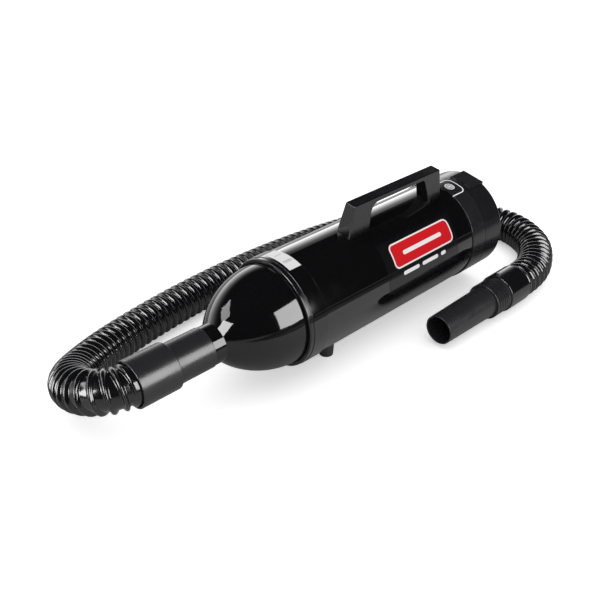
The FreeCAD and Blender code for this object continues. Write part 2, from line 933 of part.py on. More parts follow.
# ---------------------------------------------------------------- rear cap
cap = turned("rear_cap", "cap_start", (
    ("0", "cap_spigot_bore"),
    ("0", "cap_spigot_radius"),
    ("cap_spigot", "cap_spigot_radius"),
    ("cap_spigot", "collar_radius"),
    ("cap_length", "collar_radius"),
    ("cap_length", "0"),
    ("cap_length - cap_floor", "0"),
    ("cap_length - cap_floor", "cap_bore"),
    ("cap_spigot + cap_floor", "cap_bore"),
    ("cap_spigot + cap_floor", "cap_spigot_bore"),
), LEAN)
round_edges(
    cap,
    cap.Tip,
    "cap_round",
    lambda edge: is_circle(edge, "cap_length", "collar_radius"),
)
doc.recompute()
boss_sketch = new_sketch(cap, "boss_outline", "XY_Plane", "boss_bottom")
outline(boss_sketch, (
    ("boss_start", "0 - boss_half"),
    ("cap_length", "0 - boss_half"),
    ("cap_length", "boss_half"),
    ("boss_start", "boss_half"),
))
boss = extrude(cap, "boss", boss_sketch, "boss_top - boss_bottom")
round_edges(
    cap,
    boss,
    "boss_round",
    lambda edge: abs(edge.BoundBox.ZMin - value("boss_top")) < 1e-3
    and edge.BoundBox.ZLength < 1e-3,
)
cap_start_volume = volume(cap)
recess_sketch = new_sketch(cap, "recess_outline", "XY_Plane", "recess_floor")
ring(recess_sketch, "recess_station", "0", "recess_radius")
recess = extrude(cap, "recess", recess_sketch, "boss_top - boss_bottom", "Pocket", reverse=True)
check_cut(cap_start_volume, recess)
cap_start_volume = volume(cap)
path_sketch = new_sketch(cap, "tongue_path_outline", "XY_Plane", "boss_bottom - tongue_path_drop")
outline(path_sketch, (
    ("0", "0 - tongue_half - tongue_gap"),
    ("recess_station", "0 - tongue_half - tongue_gap"),
    ("recess_station", "tongue_half + tongue_gap"),
    ("0", "tongue_half + tongue_gap"),
))
tongue_path = extrude(
    cap, "tongue_path", path_sketch, "tongue_path_depth", "Pocket",
    reverse=True)
check_cut(cap_start_volume, tongue_path)

catch = new_body("release_button", at_station("cap_start", turned_by=LEAN))
catch_sketch = new_sketch(catch, "plate_outline", "XY_Plane", "catch_bottom")
ring(catch_sketch, "recess_station", "0", "catch_radius")
plate = extrude(catch, "plate", catch_sketch, "catch_top - catch_bottom")
tongue_sketch = new_sketch(catch, "tongue_outline", "XY_Plane", "catch_bottom")
outline(tongue_sketch, (
    ("recess_station - tongue_reach", "0 - tongue_half"),
    ("recess_station", "0 - tongue_half"),
    ("recess_station", "tongue_half"),
    ("recess_station - tongue_reach", "tongue_half"),
))
extrude(catch, "tongue", tongue_sketch, "tongue_width", reverse=True)
doc.recompute()
catch_start_volume = volume(catch)
trim_sketch = new_sketch(catch, "trim_outline", "XY_Plane", "boss_bottom - tongue_path_drop")
outline(trim_sketch, (
    ("cap_length - edge_round", "0 - boss_half"),
    ("cap_length + boss_half", "0 - boss_half"),
    ("cap_length + boss_half", "boss_half"),
    ("cap_length - edge_round", "boss_half"),
))
trim = extrude(catch, "trim", trim_sketch, "boss_top - boss_bottom + tongue_path_drop", "Pocket", reverse=True)
check_cut(catch_start_volume, trim)

case = turned("battery_case", "case_start", (
    ("0", "0"),
    ("0", "case_radius"),
    ("case_length", "case_radius"),
    ("case_length", "case_radius - case_wall"),
    ("case_floor", "case_radius - case_wall"),
    ("case_floor", "0"),
))
case_start_volume = volume(case)
entry_sketch = new_sketch(case, "entry_outline", "YZ_Plane")
outline(entry_sketch, (
    ("terminal_side - slot_half", "0 - terminal_span / 2 - slot_half"),
    ("terminal_side + slot_half", "0 - terminal_span / 2 - slot_half"),
    ("terminal_side + slot_half", "terminal_span / 2 + slot_half"),
    ("terminal_side - slot_half", "terminal_span / 2 + slot_half"),
))
entry = extrude(case, "entry", entry_sketch, "case_floor + slot_half", "Pocket", reverse=True)
check_cut(case_start_volume, entry)
repeat_round(case, entry, "magnet_count")

cells = new_body("battery_cells", at_station("cell_start"))
middle_sketch = new_sketch(cells, "middle_outline", "YZ_Plane")
ring(middle_sketch, "0", "0", "cell_radius")
extrude(cells, "middle", middle_sketch, "cell_length")
outer_sketch = new_sketch(cells, "outer_outline", "YZ_Plane")
ring(outer_sketch, "0", "cell_circle", "cell_radius")
outer_cell = extrude(cells, "outer", outer_sketch, "cell_length")
repeat_round(cells, outer_cell, "cell_count")
turned("cell_spacer", "cell_start + cell_length", (
    ("0", "0"),
    ("0", "case_radius - case_wall"),
    ("spacer_length", "case_radius - case_wall"),
    ("spacer_length", "0"),
))

# ---------------------------------------------------------------- handle
# A flat strap on two legs that widen toward the tube, all leaning to the near side.
handle = new_body("handle", at_station("0", turned_by=HANDLE_LEAN))
side_sketch = new_sketch(handle, "side_outline", "XZ_Plane")
outline(side_sketch, (
    ("handle_front_foot", "handle_foot_height"),
    ("handle_front_top", "handle_height"),
    ("handle_rear_top", "handle_height"),
    ("handle_rear_foot", "handle_foot_height"),
))
slab = extrude(handle, "slab", side_sketch, "handle_foot_half * 2", middle=True)
slab_start = volume(handle)
grip_sketch = new_sketch(handle, "grip_outline", "XZ_Plane")
outline(grip_sketch, (
    ("grip_front_low", "grip_low"),
    ("grip_front_high", "grip_height"),
    ("grip_rear_high", "grip_height"),
    ("grip_rear_low", "grip_low"),
))
grip = extrude(handle, "grip", grip_sketch, "handle_foot_half * 3", "Pocket", middle=True)
check_cut(slab_start, grip)
shaped = grip
for side_name, sign in (("near", "0 - "), ("far", "")):
    side_start = volume(handle)
    taper_sketch = new_sketch(handle, side_name + "_side_outline", "YZ_Plane")
    outline(taper_sketch, (
        (sign + "handle_foot_half", "handle_foot_height"),
        (sign + "handle_half", "handle_height"),
        (sign + "handle_foot_half * 2", "handle_height"),
        (sign + "handle_foot_half * 2", "handle_foot_height"),
    ))
    shaped = extrude(
        handle, side_name + "_side", taper_sketch, "handle_rear_foot + handle_half", "Pocket", reverse=True)
    check_cut(side_start, shaped)


def crossways(edge, height, first, last):
    """True for a straight edge across the handle at a height, between two stations."""
    box = edge.BoundBox
    flat = box.XLength < 1e-3 and box.ZLength < 1e-3 and box.YLength > value("handle_half")
    return flat and abs(box.ZMin - value(height)) < 1e-3 and value(first) - 1 < box.XMin < value(last) + 1


def along_side(edge):
    """True for the edges of the side faces of the strap and the legs."""
    box = edge.BoundBox
    on_side = box.YMin > value("handle_half") - 1e-3 or box.YMax < 1e-3 - value("handle_half")
    return on_side and box.ZMax > value("handle_foot_height") + 1


for radius, height, first, last in (
    ("grip_front_round", "grip_height", "grip_front_high", "grip_front_high"),
    ("grip_rear_round", "grip_height", "grip_rear_high", "grip_rear_high"),
    ("handle_corner", "handle_height", "handle_front_top", "handle_rear_top"),
):
    shaped = round_edges(
        handle, shaped, radius, lambda edge: crossways(edge, height, first, last))
round_edges(handle, shaped, "handle_round", along_side)
handle_start = volume(handle)
saddle_sketch = new_sketch(handle, "saddle_outline", "XZ_Plane")
outline(saddle_sketch, (
    ("handle_front_foot - handle_half", "0"),
    ("handle_front_foot - handle_half", "tube_radius"),
    ("handle_rear_foot + handle_half", "tube_radius"),
    ("handle_rear_foot + handle_half", "0"),
))
saddle = handle.newObject("PartDesign::Groove", "handle_saddle")
saddle.Profile = saddle_sketch
saddle.ReferenceAxis = (saddle_sketch, ["H_Axis"])
saddle.Angle = 360.0
check_cut(handle_start, saddle)

strap_screw_low = "tube_radius - tube_wall - strap_screw_depth - edge_round"
for label, station in (("handle_screw_front", "strap_screw_front"), ("handle_screw_rear", "strap_screw_rear")):
    screw = new_body(label, at_station(station, turned_by=HANDLE_LEAN * OUTWARD))
    turn(screw, "turned", (
        (strap_screw_low, "0"),
        (strap_screw_low, "strap_screw_head"),
        (strap_screw_low + " + strap_screw_depth", "strap_screw_head"),
        (strap_screw_low + " + strap_screw_depth", "screw_shank"),
        (strap_screw_low + " + strap_screw_length", "screw_shank"),
        (strap_screw_low + " + strap_screw_length", "0"),
    ))

# ---------------------------------------------------------------- feet


def rubber_foot(label, station, side):
    """A tapered foot cut to the tube, with a hole up its middle for a screw."""
    cone = doc.addObject("Part::Cone", label + "_blank")
    bind(cone, Radius1="foot_radius", Radius2="foot_top_radius", Height="foot_blank")
    cone.Placement = at_station(station, side, "0")
    hole = doc.addObject("Part::Cylinder", label + "_hole")
    bind(hole, Radius="foot_screw_head", Height="foot_screw_low + foot_screw_rise")
    hole.Placement = at_station(station, side, "0")
    barrel = doc.addObject("Part::Cylinder", label + "_tube")
    bind(barrel, Radius="tube_radius", Height="foot_blank * 2")
    barrel.Placement = at_station(station + " - foot_blank", turned_by=Rotation(Vector(0, 1, 0), 90))
    tools = doc.addObject("Part::MultiFuse", label + "_tools")
    tools.Shapes = [hole, barrel]
    foot = doc.addObject("Part::Cut", label)
    foot.Label = label
    foot.Base = cone
    foot.Tool = tools
    parts.append(foot)


def foot_screw(label, station, side):
    """A screw up the middle of a foot into the tube."""
    turned(label, station, (
        ("0", "0"),
        ("0", "foot_screw_head"),
        ("foot_screw_rise", "foot_screw_head"),
        ("foot_screw_rise", "screw_shank"),
        ("foot_screw_length", "screw_shank"),
        ("foot_screw_length", "0"),
    ), OUTWARD, "foot_screw_low", side)


for suffix, station, side in (
    ("near", "foot_station", "0 - foot_side"),
    ("far", "foot_station", "foot_side"),
    ("rear", "rear_foot_station", "0"),
):
    rubber_foot("foot_" + suffix, station, side)
    foot_screw("foot_screw_" + suffix, station, side)

# ---------------------------------------------------------------- labels


def wrapped(label, station, length, radius, angle):
    """A thin label wrapped round part of the machine over an angle."""
    body = new_body(label, at_station(station))
    turn(body, "skin", (
        ("0", radius),
        ("0", radius + " + label_thickness"),
        (length, radius + " + label_thickness"),
        (length, radius),
    ), angle)
    doc.recompute()
    return body


# Each label is turned about the axis until its middle is at the angle that it has from the top.
sticker = wrapped(
    "band_sticker", "sticker_start", "sticker_length - edge_round", "band_radius", "sticker_angle")
plaque = wrapped("side_label", "label_start", "label_length", "tube_radius", "label_angle")
for body, middle in ((sticker, 0.0), (plaque, value("label_first + label_angle / 2"))):
    centre = body.Shape.CenterOfMass.sub(body.Placement.Base)
    found = math.degrees(math.atan2(-centre.y, centre.z))
    spin = Rotation(Vector(1, 0, 0), middle - found)
    body.Placement = Placement(body.Placement.Base, spin)

# ---------------------------------------------------------------- far end of the hose
far_end = "swivel_length + far_cuff_length"
far_cuff = turned("far_cuff", "far_cuff_start - swivel_length", (
    ("0", "far_bore"),
    ("0", "swivel_radius"),
    ("swivel_length", "swivel_radius"),
    ("swivel_length", "far_cuff_radius"),
    (far_end, "far_cuff_radius"),
    (far_end, "far_bore"),
), height="far_height", side=NEAR_SIDE)
round_edges(
    far_cuff,
    far_cuff.Tip,
    "soft_round",
    lambda edge: is_circle(edge, "swivel_length", "far_cuff_radius")
    or is_circle(edge, far_end, "far_cuff_radius"),
)
far_collar = turned("far_collar", "far_collar_start", (
    ("0", "tail_fit"),
    ("0", "far_collar_radius"),
    ("far_collar_length", "far_collar_radius"),
    ("far_collar_length", "swivel_fit"),
    ("tail_length + edge_round", "swivel_fit"),
    ("tail_length + edge_round", "tail_fit"),
), height="far_height", side=NEAR_SIDE)
round_edges(
    far_collar,
    far_collar.Tip,
    "rim_round",
    lambda edge: is_circle(edge, "0", "far_collar_radius")
    or is_circle(edge, "far_collar_length", "far_collar_radius"),
)
far_start = volume(far_collar)
rib_sketch = new_sketch(far_collar, "rib_outline", "XZ_Plane")
outline(rib_sketch, (
    ("rib_first", "far_collar_radius - rib_depth"),
    ("rib_first + rib_width", "far_collar_radius - rib_depth"),
    ("rib_first + rib_width", "far_collar_radius + rib_depth"),
    ("rib_first", "far_collar_radius + rib_depth"),
))
rib = far_collar.newObject("PartDesign::Groove", "far_collar_rib")
rib.Profile = rib_sketch
rib.ReferenceAxis = (rib_sketch, ["H_Axis"])
rib.Angle = 360.0
check_cut(far_start, rib)
ribs = far_collar.newObject("PartDesign::LinearPattern", "far_collar_ribs")
ribs.Originals = [rib]
ribs.Direction = (origin_item(far_collar, "X_Axis"), [""])
ribs.Length = value("rib_pitch") * (value("rib_count") - 1)
ribs.setExpression("Length", "Sizes.rib_pitch * (Sizes.rib_count - 1)")
ribs.Occurrences = int(value("rib_count"))
ribs.setExpression("Occurrences", "Sizes.rib_count")
far_collar.Tip = ribs
nozzle = turned("nozzle", "nozzle_start", (
    ("0", "nozzle_bore"),
    ("0", "nozzle_mouth"),
    ("nozzle_length", "nozzle_radius"),
    ("nozzle_length", "tail_radius"),
    ("nozzle_length + tail_length", "tail_radius"),
    ("nozzle_length + tail_length", "nozzle_bore"),
), height="far_height", side=NEAR_SIDE)
round_edges(
    nozzle,
    nozzle.Tip,
    "edge_round",
    lambda edge: is_circle(edge, "0", "nozzle_mouth") or is_circle(edge, "0", "nozzle_bore"),
)

# ---------------------------------------------------------------- hose


def hose_path(points):
    """Straight runs joined by arcs, each as large as its two runs allow."""
    edges = []
    start = points[0]
    for before, corner, after in zip(points, points[1:], points[2:]):
        back = before.sub(corner)
        ahead = after.sub(corner)
        reach = ARC_SHARE * min(back.Length, ahead.Length)
        turn_angle = math.pi - back.getAngle(ahead)
        radius = reach / math.tan(turn_angle / 2)
        back.normalize()
        ahead.normalize()
        first = corner.add(Vector(back).multiply(reach))
        last = corner.add(Vector(ahead).multiply(reach))
        bisector = back.add(ahead)
        bisector.normalize()
        bow = radius / math.cos(turn_angle / 2) - radius
        middle = corner.add(bisector.multiply(bow))
        edges.append(Part.LineSegment(start, first).toShape())
        edges.append(Part.Arc(first, middle, last).toShape())
        print("  hose arc radius %.1f turn %.1f" % (radius, math.degrees(turn_angle)))
        start = last
    edges.append(Part.LineSegment(start, points[-1]).toShape())
    return Part.Wire(edges)


def make_hose():
    """The hose as a plain tube along its path."""
    points = [Vector(*point) for point in HOSE_ROUTE]
    path = hose_path(points)
    direction = points[1].sub(points[0])
    rims = []
    for radius in (value("hose_radius"), value("hose_bore")):
        circle = Part.makeCircle(radius, points[0], direction)
        rims.append(path.makePipeShell([Part.Wire([circle])], True, False))
    tube_shape = rims[0].cut(rims[1])
    section = math.pi * (value("hose_radius") ** 2 - value("hose_bore") ** 2)
    print("hose length %.1f volume share %.4f" % (path.Length, tube_shape.Volume / (section * path.Length)))
    return tube_shape.Solids[0]


hose = doc.addObject("Part::Feature", "hose")
hose.Label = "hose"
hose.Shape = make_hose()
parts.append(hose)

# ---------------------------------------------------------------- groups of equal pieces


def group(label, members):
    """Equal pieces kept as separate solids under one name."""
    compound = doc.addObject("Part::Compound", label)
    compound.Label = label
    compound.Links = members
    for member in members:
        parts.remove(member)
    parts.append(compound)


def named(*labels):
    """Sub-parts by label."""
    return [piece for piece in parts if piece.Label in labels]


group("handle_screws", named("handle_screw_front", "handle_screw_rear"))
group("front_feet", named("foot_near", "foot_far"))
group("foot_screws", named("foot_screw_near", "foot_screw_far", "foot_screw_rear"))
named("foot_rear")[0].Label = "rear_foot"

# ---------------------------------------------------------------- checks and export
doc.recompute()
for thing in doc.Objects:
    if "Invalid" in thing.State or "Error" in thing.State:
        raise ValueError("%s is %s" % (thing.Name, thing.State))
os.makedirs("parts", exist_ok=True)
for piece in parts:
    shape = piece.Shape
    if shape.isNull() or not shape.isValid():
        raise ValueError(piece.Label + " has no valid shape")
    box = shape.BoundBox
    print("%-18s %2d solid %10.1f mm3  x %7.1f %7.1f  y %7.1f %7.1f  z %7.1f %7.1f" % (
        piece.Label, len(shape.Solids), shape.Volume,
        box.XMin, box.XMax, box.YMin, box.YMax, box.ZMin, box.ZMax))
    shape.exportStep("parts/%s.step" % piece.Label)
print(len(parts), "nodes")
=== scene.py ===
import json
import math

import bpy
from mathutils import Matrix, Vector


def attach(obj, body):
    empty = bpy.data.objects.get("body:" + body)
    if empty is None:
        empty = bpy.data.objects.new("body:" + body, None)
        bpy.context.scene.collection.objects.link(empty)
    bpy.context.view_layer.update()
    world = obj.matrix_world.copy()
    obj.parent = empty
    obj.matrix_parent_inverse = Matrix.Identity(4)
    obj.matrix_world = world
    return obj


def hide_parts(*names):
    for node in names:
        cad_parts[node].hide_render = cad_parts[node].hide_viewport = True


# A black cordless canister hand vacuum with a domed nose and a corrugated hose.
# Metres; X runs from the nose to the back, Z is up, the floor is Z = 0.

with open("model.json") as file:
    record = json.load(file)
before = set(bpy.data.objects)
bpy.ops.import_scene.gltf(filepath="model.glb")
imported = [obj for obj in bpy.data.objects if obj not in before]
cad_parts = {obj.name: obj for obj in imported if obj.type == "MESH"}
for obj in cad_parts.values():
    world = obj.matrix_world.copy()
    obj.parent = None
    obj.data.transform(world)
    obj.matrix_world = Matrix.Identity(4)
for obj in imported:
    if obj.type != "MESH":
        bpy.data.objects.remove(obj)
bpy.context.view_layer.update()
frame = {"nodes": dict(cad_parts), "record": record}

AXIS_HEIGHT = 0.070  # of the middle line of the body over the floor
MM_PER_M = 1000.0

# ---------------------------------------------------------------- camera
CAMERA_PLACE = (-0.53345, -0.50104, 0.51371)
CAMERA_YAW = math.radians(46.856)
CAMERA_PITCH = math.radians(-32.961)
CAMERA_LENS = 48.0
CAMERA_SENSOR = 36.0
NEAREST_SEEN = 0.02


def make_camera():
    """The camera that looks down on the machine from ahead of its near side."""
    data = bpy.data.cameras.new("camera")
    data.lens = CAMERA_LENS
    data.sensor_width = CAMERA_SENSOR
    data.clip_start = NEAREST_SEEN
    camera = bpy.data.objects.new("camera", data)
    bpy.context.collection.objects.link(camera)
    camera.location = CAMERA_PLACE
    aim = Vector((
        math.cos(CAMERA_PITCH) * math.cos(CAMERA_YAW),
        math.cos(CAMERA_PITCH) * math.sin(CAMERA_YAW),
        math.sin(CAMERA_PITCH),
    ))
    camera.rotation_euler = aim.to_track_quat("-Z", "Y").to_euler()
    bpy.context.scene.camera = camera


make_camera()

# ---------------------------------------------------------------- hose
# Route of the hose, from inside the cuff on the nose to the cuff at its far end.
HOSE_ROUTE = (
    (-0.2565, 0.0000, 0.0700),
    (-0.2775, 0.0000, 0.0700),
    (-0.2955, 0.0130, 0.0685),
    (-0.3015, 0.0360, 0.0610),
    (-0.2945, 0.0640, 0.0500),
    (-0.2705, 0.0930, 0.0350),
    (-0.2165, 0.1260, 0.0212),
    (-0.1335, 0.1400, 0.0212),
    (-0.0405, 0.1470, 0.0212),
    (0.0515, 0.1435, 0.0212),
    (0.1395, 0.1310, 0.0212),
    (0.2225, 0.1090, 0.0212),
    (0.2845, 0.0640, 0.0212),
    (0.3135, 0.0030, 0.0212),
    (0.2925, -0.0550, 0.0212),
    (0.2505, -0.0830, 0.0216),
    (0.2195, -0.0920, 0.0220),
    (0.1925, -0.0920, 0.0220),
)
HOSE_CREST = 0.0211  # radius on the rib
HOSE_VALLEY = 0.0177  # radius between its windings
HOSE_SLEEVE = 0.0207  # radius of the smooth end in the cuff
SLEEVE_END = 0.0130
SLEEVE_FADE = 0.0025
HOSE_PITCH = 0.00975  # from one winding of the rib to the next
RIB_SHARE = 0.36  # half width of the rib as a share of the pitch
WIDEST_RIDGE = 0.46
RIDGE_ROUNDNESS = 0.7
EXTRA_WINDINGS = 0.25  # how far windings close up in a bend
RINGS_PER_RIB = 18
HOSE_SIDES = 64
BEND_REACH = 20  # rings each way that a bend is measured over
LINE_STEPS = 48
PATH_STEP = 6


def route_line(route):
    """Points along the smooth line that has the route as its control points."""
    curve = bpy.data.curves.new("hose_line", "CURVE")
    curve.dimensions = "3D"
    curve.resolution_u = LINE_STEPS
    spline = curve.splines.new("NURBS")
    spline.points.add(len(route) - 1)
    for point, place in zip(spline.points, route):
        point.co = (*place, 1.0)
    spline.order_u = 3
    spline.use_endpoint_u = True
    line = bpy.data.objects.new("hose_line", curve)
    bpy.context.collection.objects.link(line)
    bpy.context.view_layer.update()
    mesh = bpy.data.meshes.new_from_object(line)
    points = [vertex.co.copy() for vertex in mesh.vertices]
    bpy.data.objects.remove(line)
    bpy.data.curves.remove(curve)
    bpy.data.meshes.remove(mesh)
    return points


def even_points(points, step):
    """Points at equal distances along a line of points, and the line's length."""
    total = sum((b - a).length for a, b in zip(points, points[1:]))
    count = max(2, round(total / step))
    gap = total / count
    result = [points[0].copy()]
    done = 0.0
    for a, b in zip(points, points[1:]):
        length = (b - a).length
        while len(result) <= count and gap * len(result) <= done + length + 1e-9:
            share = (gap * len(result) - done) / length
            result.append(a.lerp(b, min(1.0, share)))
        done += length
    return result, total


def tube_frames(points):
    """A pair of cross directions at each point that turns as little as it can."""
    up = Vector((0.0, 0.0, 1.0))
    frames = []
    for index in range(len(points)):
        before = points[max(0, index - 1)]
        after = points[min(len(points) - 1, index + 1)]
        along = (after - before).normalized()
        side = up.cross(along).normalized()
        up = along.cross(side).normalized()
        frames.append((side, up))
    return frames


def wall_radius(along, phase, stretch):
    """Radius of the hose wall: a smooth sleeve in the cuff, then one winding ridge.

    Where a bend draws the wall out, the ridge stands narrow between wide smooth bands.
    """
    reach = min(WIDEST_RIDGE, RIB_SHARE / stretch ** 2)
    ridge = max(0.0, 1.0 - (phase / reach) ** 2) ** RIDGE_ROUNDNESS
    ribbed = HOSE_VALLEY + (HOSE_CREST - HOSE_VALLEY) * ridge
    share = min(1.0, max(0.0, (along - SLEEVE_END) / SLEEVE_FADE))
    return HOSE_SLEEVE + (ribbed - HOSE_SLEEVE) * share


def make_hose():
    """The corrugated hose, with one rib that winds along it."""
    line = route_line(HOSE_ROUTE)
    points, length = even_points(line, HOSE_PITCH / RINGS_PER_RIB)
    gap = length / (len(points) - 1)
    windings = 0.0
    vertices = []
    for index, (point, (side, up)) in enumerate(zip(points, tube_frames(points))):
        before = points[max(0, index - BEND_REACH)]
        after = points[min(len(points) - 1, index + BEND_REACH)]
        bend = (before + after - 2.0 * point) / (gap * BEND_REACH) ** 2
        drawn_out = (1.0 + HOSE_CREST * bend.length) ** EXTRA_WINDINGS
        windings += gap * drawn_out / HOSE_PITCH
        for step in range(HOSE_SIDES):
            turn = step / HOSE_SIDES
            angle = 2.0 * math.pi * turn
            outward = side * math.cos(angle) + up * math.sin(angle)
            stretch = (1.0 - HOSE_CREST * bend.dot(outward)) / drawn_out
            phase = (windings - turn) % 1.0 - 0.5
            vertices.append(point + outward * wall_radius(index * gap, phase, stretch))
    faces = []
    for ring in range(len(points) - 1):
        for step in range(HOSE_SIDES):
            follower = (step + 1) % HOSE_SIDES
            first = ring * HOSE_SIDES
            second = first + HOSE_SIDES
            faces.append((first + step, first + follower, second + follower, second + step))
    mesh = bpy.data.meshes.new("corrugated_hose")
    mesh.from_pydata([tuple(vertex) for vertex in vertices], [], faces)
    mesh.polygons.foreach_set("use_smooth", [True] * len(faces))
    mesh.update()
    hose = bpy.data.objects.new("corrugated_hose", mesh)
    bpy.context.collection.objects.link(hose)
    return hose, [tuple(point) for point in points[::PATH_STEP]], length


hose, hose_path, hose_length = make_hose()

# ---------------------------------------------------------------- shader groups


def new_group(name, inputs, outputs):
    """A shader group with float, vector or colour sockets."""
    tree = bpy.data.node_groups.new(name, "ShaderNodeTree")
    for label, kind, default in inputs:
        socket = tree.interface.new_socket(
            name=label, in_out="INPUT", socket_type="NodeSocket" + kind)
        if default is not None:
            socket.default_value = default
    for label, kind in outputs:
        tree.interface.new_socket(
            name=label, in_out="OUTPUT", socket_type="NodeSocket" + kind)
    start = tree.nodes.new("NodeGroupInput")
    end = tree.nodes.new("NodeGroupOutput")
    return tree, start, end


def add(tree, kind, **settings):
    """A node with its settings."""
    node = tree.nodes.new("ShaderNode" + kind)
    for name, setting in settings.items():
        setattr(node, name, setting)
    return node


def feed(tree, socket, source):
    """Give an input a value or a link."""
    if isinstance(source, (int, float, tuple)):
        socket.default_value = source
    else:
        tree.links.new(source, socket)


def sums(tree, operation, first, second=None, third=None):
    """One step of arithmetic."""
    node = add(tree, "Math", operation=operation)
    for socket, source in zip(node.inputs, (first, second, third)):
        if source is not None:
            feed(tree, socket, source)
    return node.outputs[0]


def span(tree, source, low, high, new_low, new_high):
    """Map a value from one span to another, smoothly and clamped."""
    node = add(tree, "MapRange", interpolation_type="SMOOTHSTEP")
    for socket, value in zip(node.inputs, (source, low, high, new_low, new_high)):
        feed(tree, socket, value)
    return node.outputs[0]


def blend_colours(tree, share, first, second):
    """Mix two colours by a mask."""
    node = add(tree, "Mix", data_type="RGBA")
    feed(tree, node.inputs["Factor"], share)
    feed(tree, node.inputs["A"], first)
    feed(tree, node.inputs["B"], second)
    return node.outputs["Result"]


GRAIN_DETAIL = 3.0
GRAIN_DEPTH = 0.0004
SMEAR_SCALE = 38.0
SMEAR_DETAIL = 5.0
SMEAR_DISTORTION = 0.8
SMEAR_SPAN = (0.45, 0.75)
SPECK_SCALE = 420.0
SPECK_SPAN = (0.62, 0.72)


def make_surface_group():
    """Moulding grain, handling marks and dust for every material."""
    tree, start, end = new_group(
        "surface_detail",
        (
            ("Grain", "Float", 900.0),
            ("Relief", "Float", 0.05),
            ("Roughness", "Float", 0.3),
            ("Marks", "Float", 0.1),
            ("Dust", "Float", 0.1),
        ),
        (("Roughness", "Float"), ("Normal", "Vector"), ("Dust", "Float")),
    )
    place = add(tree, "TexCoord").outputs["Object"]
    grain = add(tree, "TexNoise")
    feed(tree, grain.inputs["Vector"], place)
    feed(tree, grain.inputs["Scale"], start.outputs["Grain"])
    grain.inputs["Detail"].default_value = GRAIN_DETAIL
    smear = add(tree, "TexNoise")
    feed(tree, smear.inputs["Vector"], place)
    smear.inputs["Scale"].default_value = SMEAR_SCALE
    smear.inputs["Detail"].default_value = SMEAR_DETAIL
    smear.inputs["Distortion"].default_value = SMEAR_DISTORTION
    smear_mask = span(tree, smear.outputs[0], *SMEAR_SPAN, 0.0, 1.0)
    marked = sums(tree, "MULTIPLY", smear_mask, start.outputs["Marks"])
    rough = sums(tree, "ADD", start.outputs["Roughness"], marked)
    bump = add(tree, "Bump")
    bump.inputs["Distance"].default_value = GRAIN_DEPTH
    feed(tree, bump.inputs["Strength"], start.outputs["Relief"])
    feed(tree, bump.inputs["Height"], grain.outputs[0])
    facing = sums(tree, "MAXIMUM", add_upward(tree), 0.0)
    specks = add(tree, "TexNoise")
    feed(tree, specks.inputs["Vector"], place)
    specks.inputs["Scale"].default_value = SPECK_SCALE
    speck_mask = span(tree, specks.outputs[0], *SPECK_SPAN, 0.0, 1.0)
    settled = sums(tree, "MULTIPLY", speck_mask, facing)
    dust = sums(tree, "MULTIPLY", settled, start.outputs["Dust"])
    tree.links.new(rough, end.inputs["Roughness"])
    tree.links.new(bump.outputs[0], end.inputs["Normal"])
    tree.links.new(dust, end.inputs["Dust"])
    return tree


def add_upward(tree):
    """How far a surface faces up."""
    normal = add(tree, "NewGeometry").outputs["Normal"]
    parts = add(tree, "SeparateXYZ")
    feed(tree, parts.inputs[0], normal)
    return parts.outputs["Z"]


TUBE_RADIUS = 57.15


def make_wrap_group():
    """Place on the body: distance along it and distance round it from the top, in mm."""
    tree, start, end = new_group(
        "body_wrap",
        (("Radius", "Float", TUBE_RADIUS),),
        (("Along", "Float"), ("Round", "Float")),
    )
    parts = add(tree, "SeparateXYZ")
    feed(tree, parts.inputs[0], add(tree, "TexCoord").outputs["Object"])
    along = sums(tree, "MULTIPLY", parts.outputs["X"], MM_PER_M)
    near = sums(tree, "MULTIPLY", parts.outputs["Y"], -1.0)
    height = sums(tree, "SUBTRACT", parts.outputs["Z"], AXIS_HEIGHT)
    angle = sums(tree, "ARCTAN2", near, height)
    around = sums(tree, "MULTIPLY", angle, start.outputs["Radius"])
    tree.links.new(along, end.inputs["Along"])
    tree.links.new(around, end.inputs["Round"])
    return tree


def make_box_group():
    """Distance in mm from the edge of a box with round corners, less than 0 inside it."""
    tree, start, end = new_group(
        "rounded_box",
        (
            ("Along", "Float", 0.0),
            ("Round", "Float", 0.0),
            ("Middle", "Vector", None),
            ("Half", "Vector", None),
            ("Corner", "Float", 1.0),
        ),
        (("Distance", "Float"),),
    )
    middle = add(tree, "SeparateXYZ")
    feed(tree, middle.inputs[0], start.outputs["Middle"])
    half = add(tree, "SeparateXYZ")
    feed(tree, half.inputs[0], start.outputs["Half"])
    reaches = []
    for label, axis in (("Along", "X"), ("Round", "Y")):
        offset = sums(tree, "SUBTRACT", start.outputs[label], middle.outputs[axis])
        size = sums(tree, "ABSOLUTE", offset)
        core = sums(tree, "SUBTRACT", half.outputs[axis], start.outputs["Corner"])
        reaches.append(sums(tree, "SUBTRACT", size, core))
    outside = [sums(tree, "MAXIMUM", reach, 0.0) for reach in reaches]
    squares = [sums(tree, "MULTIPLY", reach, reach) for reach in outside]
    corner = sums(tree, "SQRT", sums(tree, "ADD", squares[0], squares[1]))
    inside = sums(tree, "MINIMUM", sums(tree, "MAXIMUM", reaches[0], reaches[1]), 0.0)
    reach = sums(tree, "ADD", corner, inside)
    distance = sums(tree, "SUBTRACT", reach, start.outputs["Corner"])
    tree.links.new(distance, end.inputs["Distance"])
    return tree


SURFACE = make_surface_group()
WRAP = make_wrap_group()
BOX = make_box_group()


def new_material(name):
    """An empty material, its tree and its shader."""
    material = bpy.data.materials.new(name)
    material.use_nodes = True
    tree = material.node_tree
    return material, tree, tree.nodes["Principled BSDF"]


DUST_COLOUR = (0.30, 0.29, 0.28, 1.0)
NO_COLOUR = (0.0, 0.0, 0.0, 1.0)  # where a printed pattern is wired in instead
COAT_ROUGHNESS = 0.03


